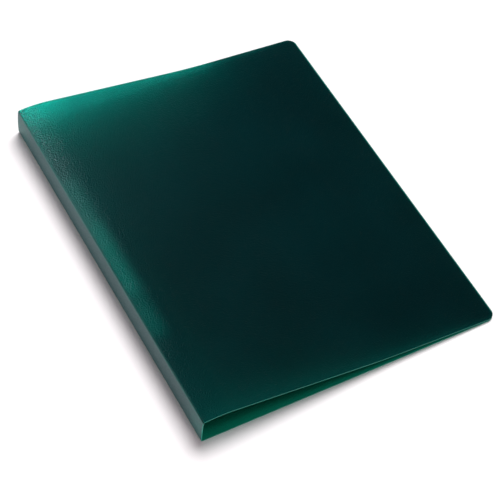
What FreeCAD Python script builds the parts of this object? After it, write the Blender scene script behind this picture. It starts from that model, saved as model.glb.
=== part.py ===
"""A4 stamp album: a folded polypropylene cover with a two-ring mechanism and three stock leaves.

Everything is drawn in album coordinates, in millimetres: x runs from the spine's outer face
to the fore-edge, y from the foot to the head, and z up from the surface the album lies on.
export() then moves each piece so that the origin is the middle of the album's underside.
"""
import FreeCAD
import Part
import math
import os

# ---- driving dimensions -------------------------------------------------------------------

ALBUM_WIDTH = 252.0       # spine to fore-edge
ALBUM_LENGTH = 318.0      # foot to head
SPINE_HEIGHT = 24.8       # outer height at the spine, covers included
SHEET = 0.8               # polypropylene sheet
CORNER_R = 7.0            # rounded fore-edge corners
SPINE_BOW = 0.4           # the spine bulges outwards by this much
CREASE_HALF = 0.55        # a panel stops this far from its crease's axis

COVER_RISE = 8.0          # front cover's slope where it leaves the spine, degrees up
COVER_FALL = 7.65         # its steepest slope, degrees down
COVER_END = 3.5           # its slope at the fore-edge, degrees down
CREST_R = 90.0            # bend just behind the spine
SAG_R = 540.0             # shallow bend towards the fore-edge
FORE_TOP_Z = 1.85         # top of the front cover at the fore-edge

RING_X = 20.5             # middle of the rings and of their mechanism
RING_Z = 12.2
RING_INNER_R = 8.1
WIRE_R = 1.1
RING_PITCH = 80.0         # ISO 838 two-hole filing
ELBOW_R = 2.0             # bend from the ring into its leg
LEG_END_Z = 1.35
RING_LEG_ANGLE = 233.0    # where the round part of a left half ring ends, from +x
TIP_GAP = 0.1             # between the closed half rings
TIP_PIN_L = 0.75
TIP_PIN_R = 0.6
TIP_POINT_R = 0.3
TIP_CLEARANCE = 0.12

MECH_LENGTH = 136.0       # over the two rivet tabs
MECH_HALF_WIDTH = 7.0
STEEL = 0.6               # shell's sheet
SHELL_WALL_Z = 2.6        # where the side walls turn into the arch
SHELL_CROWN_Z = 4.8
ARCH_LENGTH = 116.0       # at the base
ARCH_END_SLOPE = 5.0      # how far the ends lean in towards the crown
LIP_WIDTH = 1.0
LIP_T = 0.4
NOTCH_LOW_X = 0.6         # ring notch in the shell, from the shell's outer side
NOTCH_HIGH_X = 3.8
NOTCH_HALF_Y = 1.5
NOTCH_FLOOR_Z = 2.0

CARRIER_T = 0.7
CARRIER_LENGTH = 106.0
CARRIER_PIVOT_X = 14.6    # left carrier turns about its outer edge here
CARRIER_PIVOT_Z = 1.85
CARRIER_EDGE = 0.35       # plate outside the pivot
CARRIER_MEETING = 0.1     # from the middle of the mechanism to each inner edge
CARRIER_DIP = 3.0         # closed plates dip this much towards the middle, degrees

RIVET_SHANK_R = 1.9
RIVET_HOLE_R = 1.95
RIVET_FLANGE_R = 4.0
RIVET_FLANGE_T = 0.4
RIVET_SEAT_R = 4.1
RIVET_SEAT_DEPTH = 0.45
RIVET_DOME_R = 3.0
RIVET_DOME_H = 0.9
RIVET_BORE_R = 1.0
RIVET_BORE_DEPTH = 1.2
RIVET_INSET = 5.0         # from the end of the mechanism

LEAF_COUNT = 3
LEAF_WIDTH = 210.0
LEAF_LENGTH = 280.0
CARD = 0.25
FILM = 0.07
LEAF_PITCH = 0.5          # from one leaf to the next, square to the leaf
LEAF_Z_AT_RING = 6.25     # lowest leaf's middle plane, over the mechanism
LEAF_Z_AT_FORE = 1.15     # and where the leaf ends near the fore-edge
LEAF_FORE_X = 227.0
LEAF_HOLE_R = 3.2
LEAF_MARGIN = 11.5        # from the bound edge to the hole centres
LEAF_HOLE_PLAY = 1.1      # holes sit this far outside the wire's centre
LEAF_CORNER_R = 3.0
STRIP_ROWS = 6
STRIP_START = 24.0        # from the bound edge
STRIP_END_MARGIN = 5.0
STRIP_MARGIN_Y = 6.0
STRIP_GAP = 3.0

# ---- worked out ---------------------------------------------------------------------------

CREASE_X = SPINE_BOW + SHEET / 2
LOW_CREASE_Z = SHEET / 2
HIGH_CREASE_Z = SPINE_HEIGHT - SHEET / 2
MID_Y = ALBUM_LENGTH / 2
RING_R = RING_INNER_R + WIRE_R
RING_YS = {"foot": MID_Y - RING_PITCH / 2, "head": MID_Y + RING_PITCH / 2}
RIVET_YS = {
    "foot": MID_Y - MECH_LENGTH / 2 + RIVET_INSET,
    "head": MID_Y + MECH_LENGTH / 2 - RIVET_INSET,
}
ALONG = FreeCAD.Vector(0, 1, 0)
UP = FreeCAD.Vector(0, 0, 1)
TO_FRAME = FreeCAD.Vector(-ALBUM_WIDTH / 2, -MID_Y, 0)


def point(x, z, y=0.0):
    return FreeCAD.Vector(x, y, z)


def heading(degrees):
    """Unit vector in the XZ plane, measured from +x towards +z."""
    a = math.radians(degrees)
    return point(math.cos(a), math.sin(a))


def left_of(degrees):
    return heading(degrees + 90)


def line(a, b):
    return Part.LineSegment(a, b).toShape()


def arc(a, middle, b):
    return Part.Arc(a, middle, b).toShape()


def prism(edges, length, y=0.0):
    """Solid whose closed outline in the XZ plane runs along Y."""
    face = Part.Face(Part.Wire(edges))
    face.translate(FreeCAD.Vector(0, y, 0))
    return face.extrude(ALONG * length)


def block(low, high):
    size = high - low
    return Part.makeBox(size.x, size.y, size.z, low)


def export(name, shape):
    moved = shape.copy()
    moved.translate(TO_FRAME)
    moved.exportStep(f"parts/{name}.step")


# ---- the folded cover ---------------------------------------------------------------------

def cover_blank(low_x, z, height):
    """Plan of a cover, square at the spine and rounded at the fore-edge."""
    blank = block(point(low_x, z, 0), point(ALBUM_WIDTH, z + height, ALBUM_LENGTH))
    corners = [e for e in blank.Edges
               if e.BoundBox.XMin > ALBUM_WIDTH - 1 and e.BoundBox.ZLength > height / 2]
    return blank.makeFillet(CORNER_R, corners)


def back_cover():
    cover = cover_blank(CREASE_X + CREASE_HALF, 0, SHEET)
    for y in RIVET_YS.values():
        centre = point(RING_X, 0, y)
        cover = cover.cut(Part.makeCylinder(RIVET_SEAT_R, RIVET_SEAT_DEPTH, centre))
        cover = cover.cut(Part.makeCylinder(RIVET_HOLE_R, SHEET, centre))
    return cover


def spine_panel():
    low = LOW_CREASE_Z + CREASE_HALF
    high = HIGH_CREASE_Z - CREASE_HALF
    middle = (low + high) / 2
    outer = SPINE_BOW
    inner = SPINE_BOW + SHEET
    outline = [
        arc(point(outer, low), point(0, middle), point(outer, high)),
        line(point(outer, high), point(inner, high)),
        arc(point(inner, high), point(SHEET, middle), point(inner, low)),
        line(point(inner, low), point(outer, low)),
    ]
    return prism(outline, ALBUM_LENGTH)


def front_outline():
    """The front cover's outer surface: crest, straight fall, sag, and a straight run out.

    The two straight runs take the lengths that bring the surface to the fore-edge.
    """
    start = (point(CREASE_X, HIGH_CREASE_Z) + heading(COVER_RISE) * CREASE_HALF
             + left_of(COVER_RISE) * (SHEET / 2))
    crest = turn(start, COVER_RISE, -COVER_FALL, CREST_R)[-1] - start
    sag = turn(start, -COVER_FALL, -COVER_END, SAG_R)[-1] - start
    rest = point(ALBUM_WIDTH, FORE_TOP_Z) - start - crest - sag
    fall, out = heading(-COVER_FALL), heading(-COVER_END)
    across = fall.x * out.z - fall.z * out.x
    fall_run = (rest.x * out.z - rest.z * out.x) / across
    out_run = (fall.x * rest.z - fall.z * rest.x) / across
    return start, fall_run, out_run


def turn(start, from_deg, to_deg, radius):
    """Start, middle and end of an arc that leaves start at one slope and ends at another."""
    side = left_of(from_deg) * (1 if to_deg > from_deg else -1)
    centre = start + side * radius
    points = []
    for degrees in (from_deg, (from_deg + to_deg) / 2, to_deg):
        spoke = left_of(degrees) * (1 if to_deg > from_deg else -1)
        points.append(centre - spoke * radius)
    return points


def front_surface(inset):
    """Edges of the front cover's section, inset below the outer surface."""
    start, fall_run, out_run = front_outline()
    start = start - left_of(COVER_RISE) * inset
    crest = turn(start, COVER_RISE, -COVER_FALL, CREST_R - inset)
    fall_end = crest[-1] + heading(-COVER_FALL) * fall_run
    sag = turn(fall_end, -COVER_FALL, -COVER_END, SAG_R + inset)
    end = sag[-1] + heading(-COVER_END) * out_run
    edges = [arc(*crest), line(crest[-1], fall_end), arc(*sag), line(sag[-1], end)]
    return edges, start, end


def front_cover():
    top, top_start, top_end = front_surface(0.0)
    under, under_start, under_end = front_surface(SHEET)
    outline = top + [line(top_end, under_end)] + under[::-1] + [line(under_start, top_start)]
    panel = prism(Part.sortEdges(outline)[0], ALBUM_LENGTH)
    return panel.common(cover_blank(0, 0, 2 * SPINE_HEIGHT))


# ---- the ring mechanism -------------------------------------------------------------------

def arch_block(inset, floor_z):
    """Solid under the arched shell, with its ends leaning in towards the crown."""
    half = MECH_HALF_WIDTH
    rise = SHELL_CROWN_Z - SHELL_WALL_Z
    arch_r = (half * half + rise * rise) / (2 * rise)
    centre_z = SHELL_CROWN_Z - arch_r
    side = half - inset
    radius = arch_r - inset
    shoulder_z = centre_z + math.sqrt(radius * radius - side * side)
    left, right = RING_X - side, RING_X + side
    crown_z = SHELL_CROWN_Z - inset
    outline = [
        line(point(left, floor_z), point(left, shoulder_z)),
        arc(point(left, shoulder_z), point(RING_X, crown_z), point(right, shoulder_z)),
        line(point(right, shoulder_z), point(right, floor_z)),
        line(point(right, floor_z), point(left, floor_z)),
    ]
    body = prism(outline, ARCH_LENGTH, MID_Y - ARCH_LENGTH / 2)
    reach = ARCH_LENGTH / 2 - inset
    corners = [
        FreeCAD.Vector(left, MID_Y - reach, SHEET),
        FreeCAD.Vector(left, MID_Y + reach, SHEET),
        FreeCAD.Vector(left, MID_Y + reach - ARCH_END_SLOPE, SHELL_CROWN_Z),
        FreeCAD.Vector(left, MID_Y - reach + ARCH_END_SLOPE, SHELL_CROWN_Z),
    ]
    if floor_z < SHEET:
        corners[0].z = floor_z
        corners[1].z = floor_z
    ends = Part.Face(Part.makePolygon(corners + corners[:1]))
    return body.common(ends.extrude(FreeCAD.Vector(2 * side, 0, 0)))


def rivet_tab(y_end, y_inside):
    """Flat tab at one end of the shell, rounded round its rivet."""
    low_y, high_y = sorted((y_end, y_inside))
    tab = block(point(RING_X - MECH_HALF_WIDTH, SHEET, low_y),
                point(RING_X + MECH_HALF_WIDTH, SHEET + STEEL, high_y))
    corners = [e for e in tab.Edges
               if e.BoundBox.ZLength > STEEL / 2 and abs(e.BoundBox.YMin - y_end) < 0.01]
    return tab.makeFillet(RIVET_INSET, corners)


def mechanism_shell():
    shell = arch_block(0.0, SHEET)
    for side, y in RIVET_YS.items():
        outwards = -1 if side == "foot" else 1
        y_end = MID_Y + outwards * MECH_LENGTH / 2
        y_inside = MID_Y + outwards * (ARCH_LENGTH / 2 - ARCH_END_SLOPE)
        shell = shell.fuse(rivet_tab(y_end, y_inside))
    shell = shell.cut(arch_block(STEEL, 0.0))
    for side in (-1, 1):
        wall = RING_X + side * (MECH_HALF_WIDTH - STEEL)
        low_x, high_x = sorted((wall + side * STEEL / 2, wall - side * LIP_WIDTH))
        reach = ARCH_LENGTH / 2 - STEEL
        shell = shell.fuse(block(point(low_x, SHEET, MID_Y - reach),
                                 point(high_x, SHEET + LIP_T, MID_Y + reach)))
        for y in RING_YS.values():
            near = RING_X + side * (MECH_HALF_WIDTH - NOTCH_LOW_X)
            far = RING_X + side * (MECH_HALF_WIDTH - NOTCH_HIGH_X)
            low_x, high_x = sorted((near, far))
            shell = shell.cut(block(point(low_x, NOTCH_FLOOR_Z, y - NOTCH_HALF_Y),
                                    point(high_x, SHELL_CROWN_Z + 1, y + NOTCH_HALF_Y)))
    for y in RIVET_YS.values():
        shell = shell.cut(Part.makeCylinder(RIVET_HOLE_R, SHELL_CROWN_Z, point(RING_X, 0, y)))
    return shell.removeSplitter()


def mirrored(shape):
    """The same piece on the other side of the mechanism."""
    return shape.mirror(point(RING_X, 0), FreeCAD.Vector(1, 0, 0))


def tip_cone(low_x, length, radius, point_radius, y):
    return Part.makeCone(radius, point_radius, length, point(low_x, RING_Z + RING_R, y),
                         FreeCAD.Vector(1, 0, 0))


def half_ring_wire(y):
    """Left half ring without its tip: round part, elbow, and a leg down into the carrier."""
    centre = point(RING_X, RING_Z, y)
    tip_angle = 90 + math.degrees(TIP_GAP / 2 / RING_R)
    top = centre + heading(tip_angle) * RING_R
    side = centre + heading((tip_angle + RING_LEG_ANGLE) / 2) * RING_R
    elbow = centre + heading(RING_LEG_ANGLE) * RING_R
    elbow_centre = elbow + heading(RING_LEG_ANGLE) * ELBOW_R
    elbow_middle = elbow_centre + heading((RING_LEG_ANGLE - 180) / 2) * ELBOW_R
    leg_top = elbow_centre + heading(0) * ELBOW_R
    leg_end = point(leg_top.x, LEG_END_Z, y)
    path = Part.Wire([arc(top, side, elbow), arc(elbow, elbow_middle, leg_top),
                      line(leg_top, leg_end)])
    section = Part.Wire(Part.Circle(top, left_of(tip_angle), WIRE_R).toShape())
    return path.makePipeShell([section], True, True)


def half_ring(side, y):
    """A left half ring carries the tip's cone, a right one the socket for it."""
    wire = half_ring_wire(y)
    face_x = RING_X - TIP_GAP / 2
    if side == "left":
        return wire.fuse(tip_cone(face_x - TIP_POINT_R, TIP_PIN_L + TIP_POINT_R + TIP_GAP,
                                  TIP_PIN_R, TIP_POINT_R, y))
    socket = tip_cone(face_x, TIP_PIN_L + 2 * TIP_GAP + TIP_CLEARANCE,
                      TIP_PIN_R + TIP_CLEARANCE, TIP_POINT_R + TIP_CLEARANCE, y)
    return mirrored(wire).cut(socket)


def ring_carrier(side, rings):
    """Strip under the shell that holds two half rings and turns about its outer edge."""
    reach = RING_X - CARRIER_MEETING - CARRIER_PIVOT_X
    strip = block(point(-CARRIER_EDGE, -CARRIER_T / 2, -CARRIER_LENGTH / 2),
                  point(reach, CARRIER_T / 2, CARRIER_LENGTH / 2))
    strip.rotate(FreeCAD.Vector(0, 0, 0), ALONG, CARRIER_DIP)
    strip.translate(point(CARRIER_PIVOT_X, CARRIER_PIVOT_Z, MID_Y))
    if side == "right":
        strip = mirrored(strip)
    for ring in rings:
        strip = strip.cut(ring)
    return strip


def rivet(y):
    """Tubular rivet: flange sunk in the back cover, shank, and a set dome on the shell."""
    base = point(RING_X, RIVET_SEAT_DEPTH - RIVET_FLANGE_T, y)
    shell_top = SHEET + STEEL
    body = Part.makeCylinder(RIVET_FLANGE_R, RIVET_FLANGE_T, base)
    body = body.fuse(Part.makeCylinder(RIVET_SHANK_R, shell_top - base.z, base))
    dome_r = (RIVET_DOME_R ** 2 + RIVET_DOME_H ** 2) / (2 * RIVET_DOME_H)
    dome = Part.makeSphere(dome_r, point(RING_X, shell_top + RIVET_DOME_H - dome_r, y))
    above = block(point(RING_X - dome_r, shell_top, y - dome_r),
                  point(RING_X + dome_r, shell_top + dome_r, y + dome_r))
    body = body.fuse(dome.common(above))
    return body.cut(Part.makeCylinder(RIVET_BORE_R, RIVET_BORE_DEPTH, base)).removeSplitter()


# ---- the leaves ---------------------------------------------------------------------------

LEAF_SLOPE = -math.degrees(math.atan2(LEAF_Z_AT_RING - LEAF_Z_AT_FORE, LEAF_FORE_X - RING_X))


def leaf_bound_edge(index):
    """Point on the leaf's middle plane at its bound edge, found from where the ring crosses it."""
    along, square = heading(LEAF_SLOPE), left_of(LEAF_SLOPE)
    foot = point(RING_X, LEAF_Z_AT_RING) + square * (LEAF_PITCH * index)
    to_foot = foot - point(RING_X, RING_Z)
    forward = to_foot.dot(along)
    chord = math.sqrt(forward ** 2 - to_foot.dot(to_foot) + RING_R ** 2)
    hole = foot + along * (chord - forward + LEAF_HOLE_PLAY)
    return hole - along * LEAF_MARGIN


def on_leaf(shape, index):
    """Moves a shape drawn flat, with its bound edge at x = 0, onto its leaf."""
    shape.rotate(FreeCAD.Vector(0, 0, 0), ALONG, -LEAF_SLOPE)
    shape.translate(leaf_bound_edge(index))
    return shape


def stock_leaf(index):
    low_y = MID_Y - LEAF_LENGTH / 2
    card = block(point(0, -CARD / 2, low_y), point(LEAF_WIDTH, CARD / 2, low_y + LEAF_LENGTH))
    upright = [e for e in card.Edges if e.BoundBox.ZLength > CARD / 2]
    card = card.makeFillet(LEAF_CORNER_R, upright)
    for y in RING_YS.values():
        card = card.cut(Part.makeCylinder(LEAF_HOLE_R, CARD, point(LEAF_MARGIN, -CARD / 2, y)))
    return on_leaf(card, index)


def film_strips(index):
    """Clear pocket strips on both faces of a leaf, each open towards the head."""
    low_y = MID_Y - LEAF_LENGTH / 2 + STRIP_MARGIN_Y
    row = (LEAF_LENGTH - 2 * STRIP_MARGIN_Y) / STRIP_ROWS
    strips = []
    for number in range(STRIP_ROWS):
        y = low_y + number * row
        for low_z in (CARD / 2, -CARD / 2 - FILM):
            strips.append(block(
                point(STRIP_START, low_z, y),
                point(LEAF_WIDTH - STRIP_END_MARGIN, low_z + FILM, y + row - STRIP_GAP)))
    return on_leaf(Part.makeCompound(strips), index)


# ---- every piece --------------------------------------------------------------------------

def main():
    os.makedirs("parts", exist_ok=True)
    export("back_cover", back_cover())
    export("spine_panel", spine_panel())
    export("front_cover", front_cover())
    export("mechanism_shell", mechanism_shell())
    for side in ("left", "right"):
        rings = {end: half_ring(side, y) for end, y in RING_YS.items()}
        for end, ring in rings.items():
            export(f"half_ring_{side}_{end}", ring)
        export(f"ring_carrier_{side}", ring_carrier(side, rings.values()))
    for end, y in RIVET_YS.items():
        export(f"rivet_{end}", rivet(y))
    for index in range(LEAF_COUNT):
        export(f"stock_leaf_{index + 1}", stock_leaf(index))
        export(f"film_strips_{index + 1}", film_strips(index))


main()
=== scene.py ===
"""Looks for the A4 ring album: a folded translucent cover, steel ring mechanism and stock leaves."""
import math

import bmesh
import bpy
from mathutils import Matrix, Vector


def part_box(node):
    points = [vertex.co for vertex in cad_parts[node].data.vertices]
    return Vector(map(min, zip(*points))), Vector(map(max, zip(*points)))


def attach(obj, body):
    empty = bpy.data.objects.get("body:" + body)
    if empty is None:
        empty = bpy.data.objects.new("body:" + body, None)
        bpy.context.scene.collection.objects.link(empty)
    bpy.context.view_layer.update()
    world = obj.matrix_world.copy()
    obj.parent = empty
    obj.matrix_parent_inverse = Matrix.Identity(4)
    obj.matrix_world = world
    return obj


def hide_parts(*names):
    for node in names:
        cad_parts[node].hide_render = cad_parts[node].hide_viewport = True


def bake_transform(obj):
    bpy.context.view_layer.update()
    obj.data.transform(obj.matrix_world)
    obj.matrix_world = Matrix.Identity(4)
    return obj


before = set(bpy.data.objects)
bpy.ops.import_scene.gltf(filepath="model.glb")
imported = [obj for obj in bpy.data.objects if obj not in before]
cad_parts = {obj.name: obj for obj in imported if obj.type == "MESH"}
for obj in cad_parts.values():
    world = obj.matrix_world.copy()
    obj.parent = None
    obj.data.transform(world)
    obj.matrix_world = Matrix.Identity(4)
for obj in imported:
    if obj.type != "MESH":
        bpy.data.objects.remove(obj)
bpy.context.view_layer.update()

MM = 0.001

# The folded sheet, in millimetres. Slopes are in degrees, up towards the fore-edge.
SHEET = 0.8                # thickness of the cover sheet
CREASE_HALF = 0.55         # each panel stops this far from its crease's axis
COVER_RISE = 8.0           # slope of the front cover at the spine
COVER_FALL = -7.65         # slope of its long fall, past the crest
COVER_END = -3.5           # slope at the fore-edge
CREST_R = 90.0
SAG_R = 540.0
CORNER_R = 7.0
SPINE_BOW = 0.4
WEB = 0.45                 # thickness left in a crease
WEB_TUCK = 0.15            # how far a crease's web reaches into the panels beside it
WEB_INSET = 0.05           # how far its two ends stay inside the panels' ends
EDGE_ROUND = 0.12

# How finely the curves are drawn
CREST_STEP = 0.5           # degrees of turn from one station to the next
SAG_STEP = 0.15
FALL_STEPS = 12
END_STEPS = 8
CORNER_STEPS = 6
RIM_STEPS = 2              # stations at the fore-edge that take the cut edge's painted highlight
BOW_STEPS = 24
WEB_STEPS = 16
ROWS = 24                  # strips of faces from foot to head

# The stage, with lengths in metres
FLOOR_HALF = 9.0
FLOOR_Z = -0.0004          # just clears the cover's crest when it lies open
ROOM_STRENGTH = 0.11       # the even light from all round


# ---- mesh helpers; sections are in millimetres, in the XZ plane ------------------------------

def heading(degrees):
    a = math.radians(degrees)
    return Vector((math.cos(a), math.sin(a)))


def outward(degrees):
    return heading(degrees + 90)


def box_mm(node):
    low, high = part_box(node)
    return low / MM, high / MM


def new_object(name, mesh, materials, smooth=True):
    piece = bpy.data.objects.new(name, mesh)
    bpy.context.scene.collection.objects.link(piece)
    for material in materials:
        mesh.materials.append(material)
    if smooth:
        mesh.shade_smooth()
    return piece


def round_edges(piece):
    bevel = piece.modifiers.new("edges", "BEVEL")
    bevel.width = EDGE_ROUND * MM
    bevel.segments = 2
    bevel.limit_method = "ANGLE"
    bevel.angle_limit = math.radians(40)
    bevel.harden_normals = True
    return piece


# The cut edge's material is a painted highlight, for light caught in the sheet's cut edges.
OUTER_FACE, CUT_EDGE_HIGHLIGHT, INNER_FACE = range(3)     # a swept sheet's materials, in order


def swept_sheet(name, outer, inner, low_y, high_y, materials, corner_r=0.0, rim_steps=0):
    """A sheet whose section is the strip between two lines, run along Y.

    With corner_r, the far end's two corners are rounded in plan. The cut edge's
    material, a painted highlight, also covers the last rim_steps stations of the outer face.
    """
    end_x = outer[-1].x
    bm = bmesh.new()
    grids = []
    for strip in (outer, inner):
        grid = []
        for station, at in enumerate(strip):
            inside = outer[station].x - (end_x - corner_r)
            trim = 0.0
            if corner_r and inside > 0:
                trim = corner_r - math.sqrt(max(0.0, corner_r ** 2 - inside ** 2))
            low, high = low_y + trim, high_y - trim
            grid.append([bm.verts.new(Vector((at.x, low + (high - low) * row / ROWS, at.y)) * MM)
                         for row in range(ROWS + 1)])
        grids.append(grid)
    top, under = grids
    last = len(outer) - 1
    for i in range(last):
        for j in range(ROWS):
            face = bm.faces.new((top[i][j], top[i + 1][j], top[i + 1][j + 1], top[i][j + 1]))
            face.material_index = CUT_EDGE_HIGHLIGHT if i >= last - rim_steps else OUTER_FACE
            bm.faces.new((under[i][j + 1], under[i + 1][j + 1], under[i + 1][j],
                          under[i][j])).material_index = INNER_FACE
        for j, flip in ((0, False), (ROWS, True)):
            rim = (top[i][j], under[i][j], under[i + 1][j], top[i + 1][j])
            bm.faces.new(rim[::-1] if flip else rim).material_index = CUT_EDGE_HIGHLIGHT
    for i, flip in ((0, True), (last, False)):
        for j in range(ROWS):
            rim = (top[i][j], under[i][j], under[i][j + 1], top[i][j + 1])
            bm.faces.new(rim[::-1] if flip else rim).material_index = CUT_EDGE_HIGHLIGHT
    bmesh.ops.recalc_face_normals(bm, faces=bm.faces)
    mesh = bpy.data.meshes.new(name)
    bm.to_mesh(mesh)
    bm.free()
    return new_object(name, mesh, materials)


# ---- materials ------------------------------------------------------------------------------

MIX_FACTOR, MIX_A, MIX_B = 0, 6, 7      # a colour Mix node's inputs
MIX_RESULT = 2                          # and its output


class Nodes:
    """A short way to write a material's node tree."""

    def __init__(self, name):
        self.material = bpy.data.materials.new(name)
        self.material.use_nodes = True
        self.tree = self.material.node_tree
        self.tree.nodes.clear()
        self.coordinates = self.add("ShaderNodeTexCoord")
        self.place = self.coordinates.outputs["Object"]

    def add(self, kind, **values):
        """A new node. A value's name is an input's, with _ for a space, or a setting's."""
        node = self.tree.nodes.new(kind)
        for key, value in values.items():
            if key in ("data_type", "operation"):
                setattr(node, key, value)
            else:
                self.feed(node.inputs[key.replace("_", " ")], value)
        return node

    def feed(self, socket, value):
        if isinstance(value, bpy.types.NodeSocket):
            self.tree.links.new(value, socket)
        else:
            socket.default_value = value

    def noise(self, scale, detail=2.0, rough=0.5, at=None):
        node = self.add("ShaderNodeTexNoise", Vector=at or self.place, Scale=scale,
                        Detail=detail, Roughness=rough)
        return node.outputs["Fac"]

    def ramp(self, fac, low, high, from_low=0.3, from_high=0.7):
        node = self.add("ShaderNodeMapRange", Value=fac, From_Min=from_low, From_Max=from_high,
                        To_Min=low, To_Max=high)
        return node.outputs["Result"]

    def mix(self, fac, a, b):
        node = self.add("ShaderNodeMix", data_type="RGBA")
        self.feed(node.inputs[MIX_FACTOR], fac)
        for index, colour in ((MIX_A, a), (MIX_B, b)):
            if not isinstance(colour, bpy.types.NodeSocket):
                colour = (*colour, 1)
            self.feed(node.inputs[index], colour)
        return node.outputs[MIX_RESULT]

    def bump(self, height, strength, depth_mm, normal=None):
        node = self.add("ShaderNodeBump", Height=height, Strength=strength,
                        Distance=depth_mm * MM)
        if normal:
            self.feed(node.inputs["Normal"], normal)
        return node.outputs["Normal"]

    def blend(self, fac, first, second):
        """Two shader nodes in one; fac is the second's share."""
        node = self.add("ShaderNodeMixShader", Fac=fac)
        self.tree.links.new(first.outputs[0], node.inputs[1])
        self.tree.links.new(second.outputs[0], node.inputs[2])
        return node

    def out(self, shader):
        node = self.add("ShaderNodeOutputMaterial")
        self.tree.links.new(shader, node.inputs["Surface"])
        return self.material


def sheet_material(name, dark, light, roughness=0.37, grain_depth=0.55, glow_share=0.07,
                   see_share=0.015, edge=None, shine=0.6):
    """Grained polypropylene: dark in reflected light, green where light comes through it.

    glow_share scatters light from behind, see_share lets it through, and edge is a painted
    highlight: a lighter colour on the upright faces, standing in for light caught in the cut
    edge. A ray meets the sheet's look once, on the face that it enters by.
    """
    n = Nodes(name)
    cloud = n.noise(14.0, 3.0)
    speck = n.noise(1300.0, 1.0)
    tint = n.mix(n.ramp(cloud, 0.0, 1.0), dark, light)
    if edge:
        # Painted highlight: faces that stand upright, found by their normal, turn to the edge
        # colour.
        facing = n.add("ShaderNodeSeparateXYZ", Vector=n.coordinates.outputs["Normal"])
        level = n.add("ShaderNodeMath", operation="ABSOLUTE", Value=facing.outputs["Z"]).outputs[0]
        tint = n.mix(n.ramp(level, 1.0, 0.0, 0.4, 0.6), tint, edge)
    grain = n.noise(1000.0, 0.0, 0.5)
    ripple = n.noise(42.0, 2.0, 0.4)
    normal = n.bump(grain, 1.0, grain_depth)
    normal = n.bump(ripple, 0.35, 0.12, normal)
    body = n.add("ShaderNodeBsdfPrincipled", Base_Color=tint, IOR=1.49, Specular_IOR_Level=shine,
                 Roughness=n.ramp(speck, roughness - 0.04, roughness + 0.08), Normal=normal)
    glow = n.add("ShaderNodeBsdfTranslucent", Color=(0.003, 0.92, 0.70, 1), Normal=normal)
    see = n.add("ShaderNodeBsdfTransparent", Color=(0.06, 0.90, 0.78, 1))
    inside = n.add("ShaderNodeBsdfTransparent")
    sheet = n.blend(glow_share, body, glow)
    sheet = n.blend(see_share, sheet, see)
    back_face = n.add("ShaderNodeNewGeometry").outputs["Backfacing"]
    return n.out(n.blend(back_face, sheet, inside).outputs[0])


def metal_material(name, colour, dull, roughness, brush_axis=None):
    """Plated steel. With brush_axis, fine lines run along that axis."""
    n = Nodes(name)
    if brush_axis is None:
        lines = n.noise(600.0, 3.0, 0.6)
    else:
        stretch = [900.0, 900.0, 900.0]
        stretch[brush_axis] = 18.0
        mapping = n.add("ShaderNodeMapping", Vector=n.place, Scale=stretch)
        lines = n.noise(1.0, 3.0, 0.6, mapping.outputs[0])
    smudge = n.noise(70.0, 3.0, 0.55)
    tint = n.mix(n.ramp(smudge, 0.0, 1.0, 0.35, 0.75), colour, dull)
    body = n.add("ShaderNodeBsdfPrincipled", Base_Color=tint, Metallic=1.0,
                 Roughness=n.ramp(lines, roughness - 0.05, roughness + 0.10),
                 Normal=n.bump(lines, 0.25, 0.012))
    return n.out(body.outputs[0])


def card_material(name):
    n = Nodes(name)
    fibre = n.noise(900.0, 4.0, 0.65)
    cloud = n.noise(40.0, 2.0)
    tint = n.mix(n.ramp(fibre, 0.0, 1.0), (0.008, 0.008, 0.009), (0.022, 0.022, 0.023))
    tint = n.mix(n.ramp(cloud, 0.0, 0.35), tint, (0.014, 0.013, 0.013))
    body = n.add("ShaderNodeBsdfPrincipled", Base_Color=tint,
                 Roughness=n.ramp(cloud, 0.55, 0.68), Normal=n.bump(fibre, 0.5, 0.02))
    return n.out(body.outputs[0])


def film_material(name):
    """Clear film, met once on the face that a ray enters by."""
    n = Nodes(name)
    ripple = n.noise(55.0, 2.0, 0.45)
    streak = n.noise(260.0, 2.0)
    clear = n.add("ShaderNodeBsdfTransparent", Color=(0.97, 0.98, 0.98, 1))
    gloss = n.add("ShaderNodeBsdfPrincipled", Base_Color=(0.03, 0.03, 0.03, 1), IOR=1.5,
                  Roughness=n.ramp(streak, 0.05, 0.12), Normal=n.bump(ripple, 0.3, 0.06))
    film = n.blend(0.22, clear, gloss)
    back_face = n.add("ShaderNodeNewGeometry").outputs["Backfacing"]
    inside = n.add("ShaderNodeBsdfTransparent")
    return n.out(n.blend(back_face, film, inside).outputs[0])


Y_AXIS = 1
# Painted glow: the sheet's inner faces and the whole back cover get a green about three times
# lighter than the outer face, standing in for light that comes through the sheet into the album.
INSIDE_GLOW_GREENS = (0.0004, 0.036, 0.022), (0.0004, 0.045, 0.0275)
sheet_look = sheet_material("cover_polypropylene", (0.0004, 0.0105, 0.0120),
                            (0.0004, 0.0145, 0.0165))
# Painted reflection: the spine is the cover's own sheet, but its base is greyer and over twice as
# light, standing in for the floor's reflection in its steep face.
spine_reflection_look = sheet_material("spine_polypropylene_painted_reflection", (0.006, 0.025, 0.027), (0.008, 0.030, 0.032),
                            roughness=0.5, grain_depth=0.15, glow_share=0.02, see_share=0.0,
                            shine=0.5)
inside_glow_look = sheet_material("cover_inside_painted_glow", *INSIDE_GLOW_GREENS)
base_glow_look = sheet_material("cover_base_painted_glow", *INSIDE_GLOW_GREENS, edge=(0.003, 0.13, 0.095))
# Painted shade: the crease webs get a darker green than the sheet and let less light through, for a
# dark line along each fold.
crease_shade_look = sheet_material("cover_crease_painted_shade", (0.0003, 0.008, 0.010), (0.0003, 0.011, 0.013),
                             roughness=0.5, grain_depth=0.1, glow_share=0.04, see_share=0.0)
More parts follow.
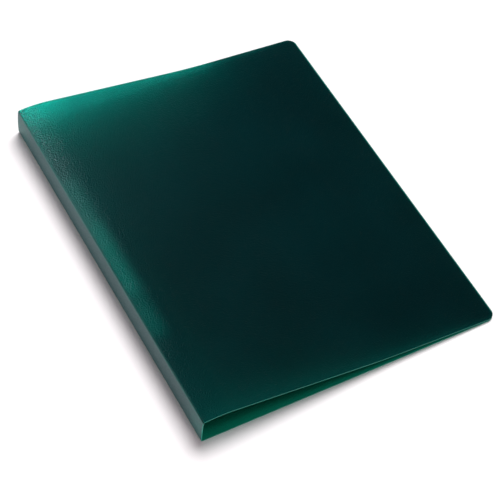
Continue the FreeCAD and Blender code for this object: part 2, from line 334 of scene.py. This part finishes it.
# Painted highlight: the cut edges and the fore-edge's last stations get a green about ten times
# lighter than the sheet, standing in for light caught in the cut edge.
edge_highlight_look = sheet_material("cover_cut_edge_painted_highlight", (0.003, 0.12, 0.092), (0.004, 0.15, 0.115),
                           roughness=0.45, grain_depth=0.1, shine=0.45)
nickel_look = metal_material("nickel_plate", (0.74, 0.72, 0.68), (0.60, 0.58, 0.55), 0.16)
shell_look = metal_material("nickel_sheet", (0.72, 0.70, 0.67), (0.57, 0.56, 0.53), 0.2, Y_AXIS)
carrier_look = metal_material("zinc_plate", (0.56, 0.57, 0.58), (0.42, 0.43, 0.45), 0.32, Y_AXIS)
card_look = card_material("black_card")
film_look = film_material("clear_pocket_film")


# ---- cover ----------------------------------------------------------------------------------

back_low, back_high = box_mm("back_cover")
spine_low, spine_high = box_mm("spine_panel")
foot, head = back_low.y, back_high.y
fore_x = back_high.x
fore_z = box_mm("front_cover")[0].z
crease_x = spine_low.x + SPINE_BOW + SHEET / 2
low_crease = Vector((crease_x, SHEET / 2))
high_crease = Vector((crease_x, spine_high.z + CREASE_HALF))


def front_section():
    """Points and slopes along the front cover's outer surface, spine to fore-edge.

    It rises to the crest, falls straight, sags to a gentler slope and runs out. The two
    straight runs are as long as it takes to reach the fore-edge.
    """
    at = high_crease + heading(COVER_RISE) * CREASE_HALF + outward(COVER_RISE) * SHEET / 2
    line = [(at, COVER_RISE)]

    def bend(at, slope, to, radius, step):
        count = max(2, round(abs(to - slope) / step))
        turn = (to - slope) / count
        chord = 2 * radius * math.sin(math.radians(abs(turn)) / 2)
        for _ in range(count):
            at = at + heading(slope + turn / 2) * chord
            slope += turn
            line.append((at, slope))
        return at

    at = bend(at, COVER_RISE, COVER_FALL, CREST_R, CREST_STEP)
    crest_count = len(line)
    sag_end = bend(at, COVER_FALL, COVER_END, SAG_R, SAG_STEP)
    sag_points = line[crest_count:]
    del line[crest_count:]
    end = Vector((fore_x, fore_z + SHEET))
    rest = end - sag_end
    fall, out = heading(COVER_FALL), heading(COVER_END)
    across = fall.x * out.y - fall.y * out.x
    fall_run = (rest.x * out.y - rest.y * out.x) / across
    out_run = (fall.x * rest.y - fall.y * rest.x) / across
    for i in range(1, FALL_STEPS + 1):
        line.append((at + fall * (fall_run * i / FALL_STEPS), COVER_FALL))
    shift = fall * fall_run
    line += [(p + shift, slope) for p, slope in sag_points]
    at = line[-1][0]
    end_run = out_run - CORNER_R
    for i in range(1, END_STEPS + 1):
        line.append((at + out * (end_run * i / END_STEPS), COVER_END))
    at = line[-1][0]
    for i in range(1, CORNER_STEPS + 1):
        round_the_corner = math.radians(90 / CORNER_STEPS * i)
        line.append((at + out * (CORNER_R * math.sin(round_the_corner)), COVER_END))
    return line


section = front_section()
front_outer = [p for p, slope in section]
front_inner = [p - outward(slope) * SHEET for p, slope in section]
front_piece = round_edges(swept_sheet("front_cover_sheet", front_outer, front_inner, foot, head,
                                      (sheet_look, edge_highlight_look, inside_glow_look), CORNER_R, RIM_STEPS))
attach(front_piece, "front")
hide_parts("front_cover")

bow_outer = []
for i in range(BOW_STEPS + 1):
    share = i / BOW_STEPS
    bow = 1 - (2 * share - 1) ** 2
    bow_outer.append(Vector((spine_low.x + SPINE_BOW * (1 - bow),
                             spine_low.z + (spine_high.z - spine_low.z) * share)))
bow_inner = [p + Vector((SHEET, 0)) for p in bow_outer]
spine_piece = round_edges(swept_sheet("spine_sheet", bow_outer, bow_inner, foot, head,
                                      (spine_reflection_look, edge_highlight_look, inside_glow_look)))
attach(spine_piece, "spine")
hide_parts("spine_panel")


def crease_web(name, corner, start, end):
    """The thinned sheet in a fold, from one panel round the crease's axis to the next."""
    middle = []
    for i in range(WEB_STEPS + 1):
        t = i / WEB_STEPS
        middle.append(start * (1 - t) ** 2 + corner * (2 * t * (1 - t)) + end * t * t)
    outer, inner = [], []
    for i, p in enumerate(middle):
        along = middle[min(i + 1, WEB_STEPS)] - middle[max(i - 1, 0)]
        side = Vector((-along.y, along.x)).normalized() * WEB / 2
        outer.append(p + side)
        inner.append(p - side)
    # Its outer face carries the painted shade of the fold.
    return swept_sheet(name, outer, inner, foot + WEB_INSET, head - WEB_INSET,
                       (crease_shade_look, edge_highlight_look, inside_glow_look))


spine_start = low_crease + Vector((0, CREASE_HALF))
spine_end = high_crease - Vector((0, CREASE_HALF))
back_start = low_crease + Vector((CREASE_HALF, 0))
front_start = high_crease + heading(COVER_RISE) * CREASE_HALF
low_web = crease_web("low_crease_web", low_crease, back_start + Vector((WEB_TUCK, 0)),
                     spine_start + Vector((0, WEB_TUCK)))
high_web = crease_web("high_crease_web", high_crease, spine_end - Vector((0, WEB_TUCK)),
                      front_start + heading(COVER_RISE) * WEB_TUCK)


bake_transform(low_web)
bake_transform(high_web)

sheet_pieces = [front_piece, spine_piece, low_web, high_web]

# ---- CAD nodes that keep their shape ----------------------------------------------------------

looks = {
    # The back cover takes the painted glow green and, on its upright faces, the cut edge's painted
    # highlight.
    "back_cover": base_glow_look,
    "mechanism_shell": shell_look,
    "ring_carrier_left": carrier_look,
    "ring_carrier_right": carrier_look,
    "rivet_foot": nickel_look,
    "rivet_head": nickel_look,
}
for side in ("left", "right"):
    for end in ("foot", "head"):
        looks[f"half_ring_{side}_{end}"] = nickel_look
for number in (1, 2, 3):
    looks[f"stock_leaf_{number}"] = card_look
    looks[f"film_strips_{number}"] = film_look
for node, look in looks.items():
    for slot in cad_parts[node].material_slots:
        slot.material = look
    if look is film_look:
        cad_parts[node].visible_shadow = False

# ---- floor and lights -------------------------------------------------------------------------

floor_mesh = bpy.data.meshes.new("floor")
floor_mesh.from_pydata([(x * FLOOR_HALF, y * FLOOR_HALF, FLOOR_Z)
                        for x, y in ((-1, -1), (1, -1), (1, 1), (-1, 1))], [], [(0, 1, 2, 3)])
paper = Nodes("floor_paper")
paper_tint = paper.mix(paper.ramp(paper.noise(9.0, 2.0), 0.0, 1.0), (0.90, 0.875, 0.885),
                       (0.91, 0.885, 0.895))
paper_body = paper.add("ShaderNodeBsdfPrincipled", Base_Color=paper_tint, Roughness=0.9,
                       Specular_IOR_Level=0.0)
floor = new_object("floor", floor_mesh, [paper.out(paper_body.outputs[0])], smooth=False)

scene = bpy.context.scene
scene.view_settings.view_transform = "Standard"
scene.view_settings.look = "None"

# The room is dim to the album and pale to the camera.
world = bpy.data.worlds.new("studio")
world.use_nodes = True
sky = world.node_tree
dim = sky.nodes["Background"]
dim.inputs["Color"].default_value = (1.0, 1.0, 1.0, 1)
dim.inputs["Strength"].default_value = ROOM_STRENGTH
pale = sky.nodes.new("ShaderNodeBackground")
pale.inputs["Color"].default_value = (1.0, 1.0, 1.0, 1)
seen = sky.nodes.new("ShaderNodeMixShader")
sky.links.new(sky.nodes.new("ShaderNodeLightPath").outputs["Is Camera Ray"], seen.inputs[0])
sky.links.new(dim.outputs[0], seen.inputs[1])
sky.links.new(pale.outputs[0], seen.inputs[2])
sky.links.new(seen.outputs[0], sky.nodes["World Output"].inputs["Surface"])
world.cycles_visibility.glossy = False
scene.world = world
album = sheet_pieces + [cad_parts[name] for name in looks]
front_fold = [front_piece, high_web]
back_cover = [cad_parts["back_cover"]]


def lit_only(light, pieces):
    """The light falls on these pieces and on no others."""
    group = bpy.data.collections.new(light.name + "_receivers")
    for piece in pieces:
        group.objects.link(piece)
    light.light_linking.receiver_collection = group


def soft_light(name, at, aim, size, watts, only=album, glossy=False, diffuse=True,
               colour=(1.0, 1.0, 1.0), spread=180.0):
    """An area light for some pieces; places and sizes are in metres, spread in degrees."""
    data = bpy.data.lights.new(name, "AREA")
    data.shape = "RECTANGLE"
    data.size, data.size_y = size
    data.energy = watts
    data.color = colour
    data.spread = math.radians(spread)
    light = bpy.data.objects.new(name, data)
    scene.collection.objects.link(light)
    light.location = at
    light.rotation_euler = (Vector(aim) - Vector(at)).to_track_quat("-Z", "Y").to_euler()
    light.visible_glossy = glossy
    light.visible_diffuse = diffuse
    light.visible_camera = False
    lit_only(light, only)


def floor_light(name, towards, strength, angle, colour=(1.0, 1.0, 1.0)):
    """A sun for the floor alone. It stands in the direction towards."""
    data = bpy.data.lights.new(name, "SUN")
    data.energy = strength
    data.angle = math.radians(angle)
    data.color = colour
    light = bpy.data.objects.new(name, data)
    scene.collection.objects.link(light)
    light.rotation_euler = (-Vector(towards)).to_track_quat("-Z", "Y").to_euler()
    light.visible_glossy = False
    lit_only(light, [floor])


# The suns draw the album's shadow on the floor.
floor_light("floor_key", (0.40, 0.38, 1.0), 3.55, 36.0)
floor_light("floor_fill_left", (-1.0, -0.1, 0.55), 0.65, 20.0, colour=(1.0, 0.93, 0.96))
floor_light("floor_fill_foot", (0.1, -1.0, 0.55), 0.72, 20.0, colour=(1.0, 0.78, 0.84))

# Soft light over the whole album
soft_light("key", (-0.48, 0.42, 0.68), (0, 0, 0), (0.4, 0.4), 15.0)
soft_light("foot_fill", (0.45, -1.3, 0.45), (0, -0.1, 0), (1.0, 0.4), 2.0)
soft_light("left_low", (-0.9, 0.10, 0.06), (-0.126, 0.0, 0.012), (0.6, 0.08), 3.0)
soft_light("left_fill", (-1.3, 0.0, 0.55), (-0.1, 0, 0), (0.9, 0.9), 8.0)

# Light into the foot gap
soft_light("gap_fill", (0.1, -0.9, 0.25), (0, -0.16, 0), (0.5, 0.2), 3.0, only=back_cover)
soft_light("gap_top", (0.1, -0.38, 0.85), (0, -0.16, 0), (0.5, 0.3), 13.0, only=back_cover)

# Light under the cover that shows green through the sheet: along the head, beside the ring
# mechanism, and at both ends of the spine
soft_light("head_rake", (-0.075, 0.30, 0.035), (-0.095, 0.12, 0.010), (0.14, 0.04), 1.5,
           only=front_fold)
soft_light("head_edge", (-0.088, 0.168, 0.002), (-0.084, 0.145, 0.024), (0.095, 0.008), 0.066,
           only=front_fold)
soft_light("head_corner", (-0.112, 0.168, 0.012), (-0.112, 0.145, 0.026), (0.03, 0.006), 0.0075,
           only=front_fold, spread=100.0)
soft_light("head_edge_far", (0.002, 0.168, 0.002), (0.002, 0.145, 0.014), (0.09, 0.008), 0.034,
           only=[front_piece])
for name, y, length, watts in (("strip_mid", -0.0050, 0.070, 0.0032),
                               ("strip_foot", -0.0620, 0.036, 0.0009),
                               ("strip_head", 0.0530, 0.050, 0.0012)):
    soft_light(name, (-0.1205, y, 0.005), (-0.1205, y, 0.03), (0.004, length), watts,
               only=front_fold, spread=65.0)
for name, y in (("spine_head", 0.152), ("spine_foot", -0.155)):
    soft_light(name, (-0.116, y, 0.013), (-0.126, y, 0.013), (0.02, 0.012), 0.003,
               only=[spine_piece])

# The bloom on the cover beside the spine
soft_light("haze", (-0.160, 0.182, 0.153), (-0.11, 0.13, 0.02), (0.05, 0.05), 0.135,
           only=[front_piece, spine_piece, high_web], glossy=True, diffuse=False,
           colour=(0.75, 0.97, 1.0))

# What the rings, the shell and the clear film reflect
shiny = [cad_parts[name] for name, look in looks.items()
         if look in (nickel_look, shell_look, carrier_look, film_look)]
metals = [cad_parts[name] for name, look in looks.items()
          if look in (nickel_look, shell_look, carrier_look)]
soft_light("shine_left", (-0.8, -0.2, 0.9), (-0.1, 0, 0), (0.25, 1.0), 8.0, shiny, glossy=True)
soft_light("shine_top", (0.35, 0.3, 1.2), (-0.1, 0, 0), (0.5, 0.8), 8.0, shiny, glossy=True)
soft_light("shine_roof", (0, 0, 1.6), (0, 0, 0), (4.5, 4.5), 30.0, shiny, glossy=True)
for name, x, y in (("shine_wall_left", -2.2, 0.0), ("shine_wall_right", 2.2, 0.0),
                   ("shine_wall_foot", 0.0, -2.2), ("shine_wall_head", 0.0, 2.2)):
    soft_light(name, (x, y, 0.85), (0, 0, 0.85), (4.4, 1.5), 14.0, metals, glossy=True)

# ---- camera -----------------------------------------------------------------------------------

CAMERA_TARGET = Vector((-0.0131, -0.0235, 0.0))
CAMERA_AZIMUTH = math.radians(-34.49)
CAMERA_ELEVATION = math.radians(52.41)
CAMERA_ROLL = math.radians(7.76)
CAMERA_DISTANCE = 1.321
CAMERA_LENS = 123.7        # in millimetres, on a sensor 36 mm wide
back = Vector((math.sin(CAMERA_AZIMUTH) * math.cos(CAMERA_ELEVATION),
               -math.cos(CAMERA_AZIMUTH) * math.cos(CAMERA_ELEVATION),
               math.sin(CAMERA_ELEVATION)))
level = Vector((0, 0, 1)).cross(back).normalized()
upright = back.cross(level)
right = math.cos(CAMERA_ROLL) * level + math.sin(CAMERA_ROLL) * upright
up = -math.sin(CAMERA_ROLL) * level + math.cos(CAMERA_ROLL) * upright
camera_data = bpy.data.cameras.new("camera")
camera_data.sensor_width = 36.0
camera_data.lens = CAMERA_LENS
camera_data.clip_start = 0.05
camera = bpy.data.objects.new("camera", camera_data)
scene.collection.objects.link(camera)
camera.matrix_world = Matrix.Translation(CAMERA_TARGET + back * CAMERA_DISTANCE) @ Matrix(
    (right, up, back)).transposed().to_4x4()
scene.camera = camera
